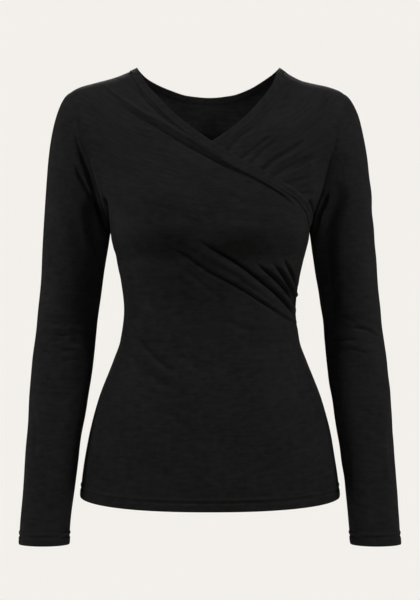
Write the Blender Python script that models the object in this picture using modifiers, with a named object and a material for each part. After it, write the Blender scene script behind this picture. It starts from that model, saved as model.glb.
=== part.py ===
# Long sleeve wrap shirt of thin jersey, filled out as if worn, with no wearer.
# The origin is midway between the two high points of the shoulders. +X is the wearer's left, -Y the front, +Z up.
# Every panel is a wall of cloth worked out on one form: rings round the trunk below the arms, and above them
# the same rings raised to the slope of the shoulders and cut off at the armholes.
import math

import bmesh
import bpy
import numpy as np

NAME = "long_sleeve_wrap_shirt"

# Cloth
WALL = 0.0016  # one layer
BAND_WALL = 0.0022  # neckband, two layers
SEAM_GAP = 0.0003  # between two pieces at a seam
LAYER = BAND_WALL + 0.0018  # how far the under front lies inside the over front
LAYER_HIDDEN = 0.0025  # and how much more where the over front hides it
LAYER_FLAT = 0.012  # it lies that far inside for this distance past the over front's edge
LAYER_STEP = 0.030  # and comes flush, or goes deeper, in this one
SUNK_LOW = 0.9  # below this drop it lies inside at its side too, under the end of the neckband
BAND_WIDTH = 0.0115
BACK_BAND_WIDTH = 0.0090
FRONT_BAND_GAP = 0.0009  # between a front and its neckband, whose points lie along different curves
SHOULDER_TURN = 0.07  # share of a neckband's length in which its width turns to lie along the shoulder seam
SIDE_TURN = 0.14  # and to lie along the side seam

# Trunk
UNDERARM = -0.224  # height of the armholes' lowest points
HEM = -0.596  # height of the hem at the side seams
HEM_DIP = 0.0135  # how much lower the hem is at centre front
BACK_HEM_DIP = 0.010
SQUARE = 2.3  # 2 is an ellipse, more is squarer
FRONT_ROLL = 1.5  # how quickly the front falls away from the shoulder seam
BACK_ROLL = 2.2
ARMHOLE_FRONT = 0.052  # how far the armhole reaches forward of the shoulder seam
ARMHOLE_BACK = 0.056
ARMHOLE_SQUARE = 2.5  # shape of that reach from top to bottom
ARMHOLE_ROUND = 0.45
UNDERARM_BEND = 0.0375  # between the seams, the trunk's sides bend softly at the underarm: how much,
UNDERARM_SOFT = 0.055  # in what drop above and below it,
INNER_SHARE = 0.55  # and in what share of the way to a seam in full
FLATTEST = 0.93  # the most of the trunk's depth that an armhole takes
SIDE_FLAT = 0.22  # angle beside a side seam or armhole in which folds die away
SHOULDER_FLAT = 0.15  # drop in which they do so below a shoulder seam
FOLD_ENDS = 0.6  # how a fold fades to its ends: below 1 it stays high for longer
FRONT_RADIAN = 0.10  # cloth across the front for each radian
UNDER_HEM = -0.300  # lower edge of the under front, inside

# Sleeves
CAP_END = -0.300  # height where the sleeve becomes a plain tube
CAP_LEAVE = 0.42  # how strongly the cap keeps the direction in which it leaves the armhole
CAP_ARRIVE = 1.05  # and the one in which it becomes a tube
CAP_OUT = (0.55, 0.40)  # that first direction's part outwards: halfway down, and how much more at the shoulder seam
CAP_FORE = 0.12  # its part forward or back
CAP_DOWN = (0.80, 0.20)  # its part downwards: halfway down, and how much less at the shoulder seam
CAP_FLAT = 0.10  # share of a sleeve's length beside the armhole in which folds die away
CUFF = -0.6608

# Cells. Two pieces that meet at a seam have the same points along it.
ARM_ROWS = 14  # rows of a trunk panel above the underarm, and half the columns of a sleeve
LOW_ROWS = 18  # rows of a front or back below it
UNDER_ROWS = 6  # and of the under front
END_ROWS = 3  # of these, beside the end of a front's neckband
COLUMNS = 26
SHOULDER_COLUMNS = 7  # of the back, along each shoulder seam
SLEEVE_ROWS = 24
CAP_ROWS = 9
BAND_COLUMNS = 2
CAP_CLOSER = 1.25  # above 1, a cap's rows lie closer together at the armhole
EVEN_DROP = 0.8  # drop at which the back's columns are evenly spread
SLEEVE_DEGREE = 0.00078  # cloth round a sleeve for each degree

BLACK = (0.0106, 0.0104, 0.0108)
ROUGHNESS = 0.9


def columns(names, rows):
    """A table as named columns."""
    return {name: np.array(column, float) for name, column in zip(names.split(), zip(*rows))}


# Trunk below the arms: half width, and depth of front and back from the side seams
TRUNK = columns("z half front back", [
    (-0.615, 0.1825, 0.1030, 0.1060),
    (-0.575, 0.1793, 0.1030, 0.1070),
    (-0.519, 0.1705, 0.1020, 0.1050),
    (-0.463, 0.1564, 0.1000, 0.0980),
    (-0.407, 0.1349, 0.0945, 0.0880),
    (-0.379, 0.1253, 0.0920, 0.0835),
    (-0.337, 0.1203, 0.0918, 0.0810),
    (-0.295, 0.1247, 0.0980, 0.0845),
    (-0.260, 0.1318, 0.1085, 0.0910),
    (-0.240, 0.1360, 0.1142, 0.0955),
    (-0.224, 0.1385, 0.1160, 0.0980),
    (-0.208, 0.1410, 0.1160, 0.0980),
])

# Armholes: drop is 0 at the shoulder seam and 1 at the underarm
ARMHOLE = columns("drop right left", [
    (0.00, 0.1960, 0.1885),
    (0.10, 0.1925, 0.1860),
    (0.22, 0.1865, 0.1815),
    (0.42, 0.1760, 0.1730),
    (0.54, 0.1670, 0.1650),
    (0.70, 0.1580, 0.1570),
    (0.82, 0.1505, 0.1500),
    (1.00, 0.1385, 0.1385),
])

# Shoulder seams: height at each distance from the centre, on the wearer's right and left
SHOULDER = columns("x right left", [
    (0.000, 0.0100, 0.0100),
    (0.080, 0.0060, 0.0045),
    (0.096, 0.0020, 0.0000),
    (0.112, -0.0050, -0.0102),
    (0.128, -0.0118, -0.0180),
    (0.145, -0.0172, -0.0223),
    (0.162, -0.0216, -0.0262),
    (0.178, -0.0260, -0.0312),
    (0.190, -0.0314, -0.0385),
    (0.205, -0.0420, -0.0500),
])

# Neck edges, from one neck point to where the edge ends
OVER_EDGE = columns("x z", [
    (-0.1013, 0.0000),
    (-0.0865, -0.0270),
    (-0.0685, -0.0478),
    (-0.0435, -0.0735),
    (-0.0020, -0.1053),
    (0.0485, -0.1370),
    (0.0880, -0.1590),
    (0.1215, -0.1800),
    (0.1340, -0.2000),
    (0.1385, -0.2240),
])
UNDER_EDGE = columns("x z", [
    (0.0959, 0.0000),
    (0.0856, -0.0262),
    (0.0755, -0.0417),
    (0.0629, -0.0570),
    (0.0445, -0.0769),
    (0.0041, -0.1066),
    (-0.0485, -0.1390),
    (-0.0880, -0.1610),
    (-0.1215, -0.1820),
    (-0.1340, -0.2020),
    (-0.1385, -0.2240),
])
BACK_EDGE = columns("x z", [
    (-0.1013, 0.0000),
    (-0.0900, -0.0098),
    (-0.0760, -0.0175),
    (-0.0570, -0.0250),
    (-0.0310, -0.0325),
    (0.0000, -0.0350),
    (0.0300, -0.0322),
    (0.0550, -0.0243),
    (0.0720, -0.0155),
    (0.0860, -0.0070),
    (0.0959, 0.0000),
])

# Sleeves: outer and inner edge of each, where its middle lies in Y, and half its depth
SLEEVE = columns("z outer_right inner_right outer_left inner_left middle half", [
    (-0.670, 0.2646, 0.1958, 0.2644, 0.1956, -0.030, 0.0315),
    (-0.631, 0.2626, 0.1932, 0.2626, 0.1925, -0.026, 0.0325),
    (-0.575, 0.2592, 0.1870, 0.2592, 0.1866, -0.019, 0.0345),
    (-0.519, 0.2556, 0.1800, 0.2556, 0.1793, -0.011, 0.0370),
    (-0.463, 0.2530, 0.1709, 0.2528, 0.1705, -0.003, 0.0400),
    (-0.407, 0.2489, 0.1628, 0.2475, 0.1632, 0.004, 0.0425),
    (-0.351, 0.2421, 0.1578, 0.2407, 0.1581, 0.008, 0.0445),
    (-0.295, 0.2373, 0.1499, 0.2352, 0.1497, 0.008, 0.0470),
    (-0.239, 0.2335, 0.1429, 0.2309, 0.1422, 0.006, 0.0500),
])

# Folds of the front, as seen from the front: each runs from one point to another, bowed sideways,
# and is a ridge where its height is above 0 and a trough where it is below
FOLD = "x0 z0 x1 z1 bow height width"
OVER_FOLDS = columns(FOLD, [
    (-0.1300, -0.0330, 0.0160, -0.1290, -0.006, 0.0030, 0.0130),
    (-0.0750, -0.1020, 0.0600, -0.1580, 0.004, -0.0022, 0.0130),
    (0.0080, -0.2540, 0.1180, -0.3420, 0.004, -0.0040, 0.0130),
    (0.0150, -0.2370, 0.1200, -0.3180, 0.004, 0.0030, 0.0120),
    (-0.0400, -0.2540, 0.1160, -0.3540, 0.006, -0.0026, 0.0140),
    (-0.0520, -0.2700, 0.0150, -0.3300, 0.004, -0.0018, 0.0150),
    (-0.1040, -0.3680, -0.0450, -0.4320, 0.008, 0.0030, 0.0140),
    (-0.1080, -0.3850, -0.0560, -0.4440, 0.006, -0.0022, 0.0130),
])
UNDER_FOLDS = columns(FOLD, [
    (0.0640, -0.1480, 0.1240, -0.1090, 0.004, -0.0032, 0.0100),
    (0.0800, -0.1600, 0.1400, -0.1240, 0.004, -0.0032, 0.0100),
])
FULLNESS = columns("x z width height out", [
    (-0.074, -0.203, 0.058, 0.056, 0.0115),
    (0.074, -0.203, 0.058, 0.056, 0.0115),
    (0.000, -0.225, 0.026, 0.060, -0.0035),
])
BACK_FOLDS = columns(FOLD, [
    (-0.1080, -0.2950, -0.0200, -0.3320, -0.006, -0.0034, 0.0140),
    (0.1080, -0.3020, 0.0300, -0.3450, 0.006, -0.0034, 0.0140),
    (-0.0900, -0.3400, 0.0500, -0.3620, 0.010, -0.0026, 0.0150),
])

# Folds round a sleeve: angle 0 is the inside of the arm, 90 the front, 180 the outside, 270 the back
ROUND_FOLD = "angle0 z0 angle1 z1 bow height width"
RIGHT_SLEEVE_FOLDS = columns(ROUND_FOLD, [
    (60, -0.1900, 110, -0.1250, 0.004, -0.0030, 0.0120),
    (20, -0.3730, 150, -0.3560, 0.004, -0.0026, 0.0110),
    (40, -0.3980, 170, -0.3880, 0.004, -0.0022, 0.0110),
])
LEFT_SLEEVE_FOLDS = columns(ROUND_FOLD, [
    (60, -0.1900, 110, -0.1250, 0.004, -0.0028, 0.0120),
    (160, -0.3560, 90, -0.3780, -0.004, -0.0026, 0.0110),
    (30, -0.4000, 130, -0.3900, 0.004, -0.0024, 0.0110),
])


def smooth(xs, ys, at):
    """The value at a place in a table, on a cubic curve through its points that never overshoots them."""
    step = np.diff(xs)
    rise = np.diff(ys) / step
    slope = np.concatenate(([rise[0]], np.zeros(len(rise) - 1), [rise[-1]]))
    product = rise[:-1] * rise[1:]
    total = rise[:-1] + rise[1:]
    slope[1:-1] = np.where(product > 0, 2 * product / np.where(product > 0, total, 1), 0)
    at = np.clip(at, xs[0], xs[-1])
    k = np.clip(np.searchsorted(xs, at, side="right") - 1, 0, len(step) - 1)
    u = (at - xs[k]) / step[k]
    start = ys[k] * (1 + 2 * u) * (1 - u) ** 2 + slope[k] * step[k] * u * (1 - u) ** 2
    end = ys[k + 1] * (3 - 2 * u) * u ** 2 + slope[k + 1] * step[k] * u ** 2 * (u - 1)
    return start + end


def ease(value):
    """0 below 0, 1 above 1, and a soft step between."""
    value = np.clip(value, 0, 1)
    return value * value * (3 - 2 * value)


def mix(start, end, share):
    return start + (end - start) * share


def shoulder_height(x):
    """The height of the shoulder seam, or of its line carried across the neck."""
    right = smooth(SHOULDER["x"], SHOULDER["right"], np.abs(x))
    left = smooth(SHOULDER["x"], SHOULDER["left"], np.abs(x))
    return np.where(x < 0, right, left)


def drop_at(x, z):
    """How far down a point lies: 0 at the shoulder seam, 1 at the underarm, and on below it."""
    top = shoulder_height(x)
    return np.where(z < UNDERARM, z / UNDERARM, (top - z) / (top - UNDERARM))


def height_at(x, drop):
    """The height of a point of the trunk from its drop."""
    return UNDERARM * drop + shoulder_height(x) * np.maximum(0, 1 - drop)


def armhole_reach(drop, reach):
    """How far the armhole lies forward or back of the shoulder seam."""
    return reach * np.maximum(0, 1 - np.abs(1 - 2 * drop) ** ARMHOLE_SQUARE) ** ARMHOLE_ROUND


def front_depth(face, drop):
    """How far the trunk reaches from its side seams at its middle; face is -1 for the front, 1 for the back."""
    z = UNDERARM * np.maximum(drop, 1)
    full = smooth(TRUNK["z"], TRUNK["front" if face < 0 else "back"], z) - WALL
    roll = FRONT_ROLL if face < 0 else BACK_ROLL
    return full * np.sqrt(1 - (1 - np.clip(drop, 0, 1)) ** roll)


def ring(face, drop):
    """Half widths on the two sides and depth of the trunk's ring, and the angle where an armhole cuts it off."""
    above = np.clip(drop, 1e-4, 1)
    reach = armhole_reach(above, ARMHOLE_FRONT if face < 0 else ARMHOLE_BACK)
    share = np.minimum(reach / front_depth(face, above), FLATTEST)
    spread = (1 - share ** SQUARE) ** (1 / SQUARE)
    below = smooth(TRUNK["z"], TRUNK["half"], UNDERARM * np.maximum(drop, 1))
    right = np.where(drop > 1, below, smooth(ARMHOLE["drop"], ARMHOLE["right"], above)) - WALL
    left = np.where(drop > 1, below, smooth(ARMHOLE["drop"], ARMHOLE["left"], above)) - WALL
    return right / spread, left / spread, front_depth(face, drop), np.arcsin(spread ** (SQUARE / 2))


def trunk(face, angle, drop):
    """A point of the trunk; angle is 0 at the centre, and a quarter turn at a side seam."""
    right, left, depth, widest = ring(face, drop)
    sine = np.abs(np.sin(angle)) ** (2 / SQUARE)
    inner = 1 - ease((np.abs(angle) / widest - INNER_SHARE) / (1 - INNER_SHARE))
    bend = UNDERARM_BEND * (np.hypot(drop - 1, UNDERARM_SOFT) - np.abs(drop - 1)) * inner
    x = np.where(angle < 0, -right - bend, left + bend) * sine
    y = face * (SEAM_GAP / 2 + depth * np.abs(np.cos(angle)) ** (2 / SQUARE))
    low = ease((drop - 1) / (HEM / UNDERARM - 1)) ** 2
    dip = HEM_DIP if face < 0 else BACK_HEM_DIP
    z = height_at(x, drop) - dip * np.cos(angle) * low
    return np.stack((x, y, z), axis=-1)


def angle_of(face, x, drop):
    """The angle at which the trunk's ring has a given X."""
    right, left, _, _ = ring(face, drop)
    half = np.where(x < 0, right, left)
    return np.sign(x) * np.arcsin(np.clip(np.abs(x) / half, 0, 1) ** (SQUARE / 2))


def slopes(face, angle, root):
    """How far a point of the trunk moves for each step of angle, and of the square root of its drop."""
    small = 1e-4
    low, high = np.maximum(angle - small, -math.pi / 2), np.minimum(angle + small, math.pi / 2)
    by_angle = (trunk(face, high, root ** 2) - trunk(face, low, root ** 2)) / (high - low)[..., None]
    by_root = (trunk(face, angle, (root + small) ** 2) - trunk(face, angle, root ** 2)) / small
    return by_angle, by_root


def across_path(face, angle, root, aim):
    """Steps of one metre in angle and root, along the cloth and square to a path on the trunk."""
    by_angle, by_root = slopes(face, angle, root)
    a, b = np.gradient(angle), np.gradient(root)
    aa = (by_angle * by_angle).sum(-1)
    ab = (by_angle * by_root).sum(-1)
    bb = (by_root * by_root).sum(-1)
    turn = np.stack((-(ab * a + bb * b), aa * a + ab * b), axis=-1) * aim
    reach = np.linalg.norm(by_angle * turn[:, :1] + by_root * turn[:, 1:], axis=-1)
    return turn / reach[:, None]


def edge_path(face, edge, meets_side, count=240):
    """A neck edge as angles and drops, evenly along its length, its ends on the shoulder or side seams."""
    along = np.concatenate(([0], np.cumsum(np.hypot(np.diff(edge["x"]), np.diff(edge["z"])))))
    at = np.linspace(0, along[-1], count)
    x, z = smooth(along, edge["x"], at), smooth(along, edge["z"], at)
    drop = drop_at(x, z)
    last = drop[-1] - (1 if meets_side else 0)
    drop = np.maximum(drop - mix(drop[0], last, at / along[-1]), 0)
    return angle_of(face, x, drop), drop


def neckband_paths(face, edge, width, aim, meets_side):
    """The two long edges of a neckband as angles and drops: the neck edge, and the seam that joins it on.

    Its ends run along the shoulder seams, or the last one down the side seam.
    """
    angle, drop = edge_path(face, edge, meets_side)
    root = np.sqrt(drop)
    step = across_path(face, angle, root, aim)
    by_angle, _ = slopes(face, angle, root)
    along_shoulder = np.stack((np.sign(angle) / np.linalg.norm(by_angle, axis=-1), np.zeros_like(angle)), axis=-1)
    along_side = np.array((0, -0.5 / UNDERARM))
    place = np.linspace(0, 1, len(angle))
    step = mix(step, along_shoulder, 1 - ease(place / SHOULDER_TURN)[:, None])
    if meets_side:
        step = mix(step, along_side, ease((place - 1 + SIDE_TURN) / SIDE_TURN)[:, None])
    else:
        step = mix(step, along_shoulder, 1 - ease((1 - place) / SHOULDER_TURN)[:, None])
    limit = math.pi / 2
    seam_angle = np.clip(angle + step[:, 0] * width, -limit, limit)
    seam_root = np.maximum.accumulate(root + step[:, 1] * width) if meets_side else root + step[:, 1] * width
    return angle, drop, seam_angle, seam_root ** 2


OVER_PATHS = neckband_paths(-1, OVER_EDGE, BAND_WIDTH, 1, True)
OVER_SEAM = neckband_paths(-1, OVER_EDGE, BAND_WIDTH + FRONT_BAND_GAP, 1, True)
UNDER_PATHS = neckband_paths(-1, UNDER_EDGE, BAND_WIDTH, -1, True)
UNDER_SEAM = neckband_paths(-1, UNDER_EDGE, BAND_WIDTH + FRONT_BAND_GAP, -1, True)
BACK_PATHS = neckband_paths(1, BACK_EDGE, BACK_BAND_WIDTH, 1, False)
BACK_SEAM = neckband_paths(1, BACK_EDGE, BACK_BAND_WIDTH + SEAM_GAP, 1, False)


def folds(table, first, second, x, z, scale=1.0):
    """The height of a table's folds at places x, z."""
    total = np.zeros_like(x)
    for k in range(len(table["height"])):
        start = np.array((table[first][k] * scale, table["z0"][k]))
        end = np.array((table[second][k] * scale, table["z1"][k]))
        length = np.linalg.norm(end - start)
        way = (end - start) / length
        along = ((x - start[0]) * way[0] + (z - start[1]) * way[1]) / length
        beside = (x - start[0]) * way[1] - (z - start[1]) * way[0]
        inside = np.clip(along, 0, 1)
        beside = beside - table["bow"][k] * 4 * inside * (1 - inside)
        fade = np.sin(math.pi * inside) ** FOLD_ENDS
        total += table["height"][k] * fade * np.exp(-(beside / table["width"][k]) ** 2)
    return total


def fullness(x, z):
    """The bust's soft fullness."""
    total = np.zeros_like(x)
    for k in range(len(FULLNESS["x"])):
        far = ((x - FULLNESS["x"][k]) / FULLNESS["width"][k]) ** 2
        far = far + ((z - FULLNESS["z"][k]) / FULLNESS["height"][k]) ** 2
        total += FULLNESS["out"][k] * np.exp(-far)
    return total


def side_fade(angle, drop, face):
    """0 at a side seam or armhole, 1 away from it."""
    _, _, _, widest = ring(face, drop)
    return ease((widest - np.abs(angle)) / SIDE_FLAT)


def over_relief(angle, drop):
    """Height of the over front's folds."""
    x, _, z = np.moveaxis(trunk(-1, angle, drop), -1, 0)
    near_shoulder = ease(drop / SHOULDER_FLAT)
    return (folds(OVER_FOLDS, "x0", "x1", x, z) + fullness(x, z)) * side_fade(angle, drop, -1) * near_shoulder


def beyond_over_edge(angle, drop):
    """Distance of a point past the over front's edge, on the side where the under front shows."""
    edge = np.interp(drop, OVER_PATHS[1], OVER_PATHS[0])
    return (angle - edge) * FRONT_RADIAN


def under_relief(angle, drop):
    """Height of the under front: flush at the armhole and shoulder, and one layer down where it goes beneath."""
    x, _, z = np.moveaxis(trunk(-1, angle, drop), -1, 0)
    beyond = beyond_over_edge(angle, drop)
    hidden = ease(-beyond / LAYER_STEP)
    sunk = 1 - ease((beyond - LAYER_FLAT) / LAYER_STEP)
    side = side_fade(angle, drop, -1)
    show = folds(UNDER_FOLDS, "x0", "x1", x, z)
    near_shoulder = ease(drop / SHOULDER_FLAT)
    cover = folds(OVER_FOLDS, "x0", "x1", x, z) * hidden
    relief = (show * (1 - hidden) + cover + fullness(x, z)) * side * near_shoulder
    return relief - LAYER * np.maximum(sunk, ease((drop - SUNK_LOW) / (1 - SUNK_LOW))) - LAYER_HIDDEN * hidden * side


def back_relief(angle, drop):
    """Height of the back's folds."""
    x, _, z = np.moveaxis(trunk(1, angle, drop), -1, 0)
    return folds(BACK_FOLDS, "x0", "x1", x, z) * side_fade(angle, drop, 1)


def closer_at_ends(share):
    """Places from 0 to 1 that lie closer together at both ends."""
    return np.sin(math.pi / 2 * np.clip(share, 0, 1)) ** 2


def trunk_drop(v, low_rows, end):
    """The drop of a front or back's row; v is 0 at its lower edge. A row lies at the end of the neckband's seam."""
    row = (1 - v) * (ARM_ROWS + low_rows)
    band_end = OVER_SEAM[3][-1] - 1
    below = np.clip((row - ARM_ROWS) / END_ROWS, 0, 1) * band_end
    low = np.clip((row - ARM_ROWS - END_ROWS) / (low_rows - END_ROWS), 0, 1)
    return closer_at_ends(row / ARM_ROWS) + below + low * (end / UNDERARM - 1 - band_end)


def front_layout(low_rows, end, over):
    """Angle and drop of a front's cloth, from its neckband's seam to its own armhole and side seam."""
    seam = OVER_SEAM if over else UNDER_SEAM

    def at(u, v):
        drop = trunk_drop(v, low_rows, end)
        _, _, _, widest = ring(-1, drop)
        far = widest if over else -widest
        neck = np.where(drop < seam[3][-1] - 1e-6, np.interp(drop, seam[3], seam[2]), far)
        return (mix(-widest, neck, u) if over else mix(neck, widest, u)), drop
    return at


def back_layout(u, v):
    """Angle and drop of the back's cloth, whose upper edge is a shoulder seam, the neck seam and a shoulder seam."""
    row = trunk_drop(v, LOW_ROWS, HEM)
    neck_share = SHOULDER_COLUMNS / COLUMNS
    along = closer_at_ends((1 - neck_share - u) / (1 - 2 * neck_share))
    places = np.linspace(0, 1, len(BACK_SEAM[2]))
    neck, neck_drop = np.interp(along, places, BACK_SEAM[2]), np.interp(along, places, BACK_SEAM[3])
    _, _, _, at_shoulder = ring(1, np.zeros_like(u))
    outwards = np.clip(np.maximum(neck_share - u, u - 1 + neck_share) / neck_share, 0, 1)
    top = mix(neck, np.sign(0.5 - u) * at_shoulder, outwards)
    drop = row + neck_drop * np.maximum(0, 1 - row)
    _, _, _, widest_at_top = ring(1, neck_drop)
    _, _, _, widest = ring(1, drop)
    share = mix(top / widest_at_top, 1 - 2 * u, ease(row / EVEN_DROP))
    return share * widest, drop


def band_layout(paths, panel_seam=None):
    """Angle and drop of a neckband's cloth; u runs across it from the neck edge, v along it.

    A front's neckband has a point beside each row of the front, whose own edge is panel_seam.
    """
    places = np.linspace(0, 1, len(paths[0]))

    def at(u, v):
        if panel_seam:
            row = v * (ARM_ROWS + END_ROWS)
            below = np.clip((row - ARM_ROWS) / END_ROWS, 0, 1)
            drop = closer_at_ends(row / ARM_ROWS) + below * (OVER_SEAM[3][-1] - 1)
            v = np.interp(drop, panel_seam[3], places)
        else:
            v = closer_at_ends(v)
        edge = np.interp(v, places, paths[0]), np.interp(v, places, paths[1])
        seam = np.interp(v, places, paths[2]), np.interp(v, places, paths[3])
        return mix(edge[0], seam[0], u), mix(edge[1], seam[1], u)
    return at


def sleeve_ring(side, turn, z):
    """A point of a sleeve below its cap; turn is 0 inside the arm and a half turn outside it."""
    name = "right" if side < 0 else "left"
    outer = smooth(SLEEVE["z"], SLEEVE["outer_" + name], z) - WALL
    inner = smooth(SLEEVE["z"], SLEEVE["inner_" + name], z) + WALL
    x = side * ((outer + inner) / 2 - (outer - inner) / 2 * np.cos(turn))
    y = smooth(SLEEVE["z"], SLEEVE["middle"], z) - smooth(SLEEVE["z"], SLEEVE["half"], z) * np.sin(turn)
    return np.stack((x, y, z), axis=-1)


def sleeve(side, turn, v):
    """A point of a sleeve: its cap springs from the armhole and runs into the plain tube; v is 1 at the cuff."""
    cap_share = CAP_ROWS / SLEEVE_ROWS
    cosine, sine = np.cos(turn), np.sin(turn)
    drop = (1 + cosine) / 2
    reach = armhole_reach(drop, np.where(sine > 0, ARMHOLE_FRONT, ARMHOLE_BACK))
    edge = smooth(ARMHOLE["drop"], ARMHOLE["right" if side < 0 else "left"], drop) - WALL
    start = np.stack((side * edge, -np.sign(sine) * reach, height_at(side * edge, drop)), axis=-1)
    clear = mix(SEAM_GAP, 2 * WALL + 2 * SEAM_GAP, ((cosine + 1) / 2) ** 2)
    start[..., 0] += side * clear
    out, down = CAP_OUT[0] - CAP_OUT[1] * cosine, -CAP_DOWN[0] - CAP_DOWN[1] * cosine
    leave = np.stack((side * out, -CAP_FORE * sine, down), axis=-1)
    end = sleeve_ring(side, turn, np.full_like(turn, CAP_END))
    arrive = (sleeve_ring(side, turn, np.full_like(turn, CAP_END - 0.01)) - end) / 0.01
    length = np.linalg.norm(end - start, axis=-1)[..., None]
    t = (np.clip(v / cap_share, 0, 1) ** CAP_CLOSER)[..., None]
    cap = start * (1 + 2 * t) * (1 - t) ** 2 + end * (3 - 2 * t) * t ** 2
    cap = cap + leave * length * CAP_LEAVE * t * (1 - t) ** 2 - arrive * length * CAP_ARRIVE * t ** 2 * (1 - t)
    low = np.clip((v - cap_share) / (1 - cap_share), 0, 1)
    tube = sleeve_ring(side, turn, mix(CAP_END, CUFF, low))
    return np.where(v[..., None] < cap_share, cap, tube)


def outward(first, second):
    """Unit vectors square to two directions."""
    square = np.cross(first, second)
    return square / np.maximum(np.linalg.norm(square, axis=-1), 1e-12)[..., None]


def trunk_panel(face, layout, relief):
    """A panel of the trunk with its folds: layout gives angle and drop, relief the height at them."""
    def folded(u, v):
        angle, drop = layout(u, v)
        by_angle, by_root = slopes(face, angle, np.sqrt(drop))
        return trunk(face, angle, drop) - face * outward(by_root, by_angle) * relief(angle, drop)[..., None]
    return folded


def sleeve_panel(side, table):
    """A sleeve with its folds. u runs round it, and v down it."""
    def turn_at(u):
        return 2 * math.pi * (u if side < 0 else 1 - u)

    def folded(u, v):
        small = 1e-4
        base = sleeve(side, turn_at(u), v)
        round_it = sleeve(side, turn_at(u + small), v) - sleeve(side, turn_at(u - small), v)
        down_it = sleeve(side, turn_at(u), v + small) - sleeve(side, turn_at(u), np.maximum(v - small, 0))
        degrees = np.degrees(turn_at(u))
        height = folds(table, "angle0", "angle1", degrees * SLEEVE_DEGREE, base[..., 2], SLEEVE_DEGREE)
        return base + outward(round_it, down_it) * (height * ease(v / CAP_FLAT))[..., None]
    return folded


def cloth(name, form, cells, wall):
    """A piece of cloth: a grid laid on a surface, closed where its two sides meet, and given its thickness."""
    shape = bmesh.new()
    bmesh.ops.create_grid(shape, x_segments=cells[0], y_segments=cells[1], size=1)
    places = np.array([vertex.co[:2] for vertex in shape.verts])
    points = form((places[:, 0] + 1) / 2, (places[:, 1] + 1) / 2)
    for vertex, point in zip(shape.verts, points):
        vertex.co = point
    bmesh.ops.remove_doubles(shape, verts=shape.verts, dist=1e-6)
    mesh = bpy.data.meshes.new(name)
    shape.to_mesh(mesh)
    shape.free()
    mesh.shade_smooth()
    mesh.materials.append(jersey(name))
    piece = bpy.data.objects.new(name, mesh)
    thickness = piece.modifiers.new("Wall", "SOLIDIFY")
    thickness.thickness = wall
    thickness.offset = 1
    return piece


def jersey(name):
    """The black jersey of one piece."""
    material = bpy.data.materials.new(name + "_jersey")
    material.use_nodes = True
    shader = material.node_tree.nodes["Principled BSDF"]
    shader.inputs["Base Color"].default_value = (*BLACK, 1)
    shader.inputs["Roughness"].default_value = ROUGHNESS
    shader.inputs["Metallic"].default_value = 0
    return material


def build():
    for item in list(bpy.data.objects):
        bpy.data.objects.remove(item)
    shirt = bpy.data.collections.new(NAME)
    bpy.context.scene.collection.children.link(shirt)
    over = trunk_panel(-1, front_layout(LOW_ROWS, HEM, True), over_relief)
    under = trunk_panel(-1, front_layout(UNDER_ROWS, UNDER_HEM, False), under_relief)
    back = trunk_panel(1, back_layout, back_relief)
    over_band = trunk_panel(-1, band_layout(OVER_PATHS, OVER_SEAM), over_relief)
    under_layout, back_band_layout = band_layout(UNDER_PATHS, UNDER_SEAM), band_layout(BACK_PATHS)
    under_band = trunk_panel(-1, lambda u, v: under_layout(v, u), under_relief)
    back_band = trunk_panel(1, lambda u, v: back_band_layout(v, u), back_relief)
    trunk_cells = (COLUMNS, ARM_ROWS + LOW_ROWS)
    sleeve_cells = (2 * ARM_ROWS, SLEEVE_ROWS)
    pieces = [
        cloth("front_over", over, trunk_cells, WALL),
        cloth("front_under", under, (COLUMNS, ARM_ROWS + UNDER_ROWS), WALL),
        cloth("back", back, trunk_cells, WALL),
        cloth("sleeve_right", sleeve_panel(-1, RIGHT_SLEEVE_FOLDS), sleeve_cells, WALL),
        cloth("sleeve_left", sleeve_panel(1, LEFT_SLEEVE_FOLDS), sleeve_cells, WALL),
        cloth("neckband_over", over_band, (BAND_COLUMNS, ARM_ROWS + END_ROWS), BAND_WALL),
        cloth("neckband_under", under_band, (ARM_ROWS + END_ROWS, BAND_COLUMNS), BAND_WALL),
        cloth("neckband_back", back_band, (COLUMNS - 2 * SHOULDER_COLUMNS, BAND_COLUMNS), BAND_WALL),
    ]
    for piece in pieces:
        shirt.objects.link(piece)


build()
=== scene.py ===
# Long sleeve wrap shirt of thin black slub jersey, filled out as if worn.
# The origin is midway between the two high points of the shoulders.
# +X is the wearer's left, -Y the front, +Z up.
import math

import bmesh
import bpy
import numpy as np
from mathutils import Matrix, Vector


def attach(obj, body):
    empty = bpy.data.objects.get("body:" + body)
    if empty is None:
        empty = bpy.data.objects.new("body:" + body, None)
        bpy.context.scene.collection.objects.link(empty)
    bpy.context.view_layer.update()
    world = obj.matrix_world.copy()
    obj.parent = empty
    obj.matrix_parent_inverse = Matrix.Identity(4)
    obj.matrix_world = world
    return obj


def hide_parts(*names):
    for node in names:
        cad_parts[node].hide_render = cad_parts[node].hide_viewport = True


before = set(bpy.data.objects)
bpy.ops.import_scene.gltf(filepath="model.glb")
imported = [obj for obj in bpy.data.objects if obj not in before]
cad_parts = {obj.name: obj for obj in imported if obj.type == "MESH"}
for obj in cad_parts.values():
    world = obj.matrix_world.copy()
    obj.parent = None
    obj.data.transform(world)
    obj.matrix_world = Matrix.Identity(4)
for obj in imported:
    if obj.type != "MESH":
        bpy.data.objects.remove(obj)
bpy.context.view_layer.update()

# Cloth
WALL = 0.0016  # the solids' wall; this cloth's outer face lies on theirs
BAND_WALL = 0.0022  # and of their neckbands
JERSEY = 0.0009  # thickness of one layer
BAND_JERSEY = 0.0016  # and of a neckband
SEAM_GAP = 0.0001  # between a sleeve and the trunk
SEWN_IN = 0.00005  # how far front and back run into each other
LAYER = 0.0016  # how far the under front lies inside the over front,
LAYER_HIDDEN = 0.0015  # how much deeper where the over front hides it,
LAYER_FLAT = 0.012  # how far past the over front's edge it starts to rise,
LAYER_STEP = 0.030  # in what distance it does so,
SUNK_LOW = 0.9  # and the drop below which it stays inside up to its side seam
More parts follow.
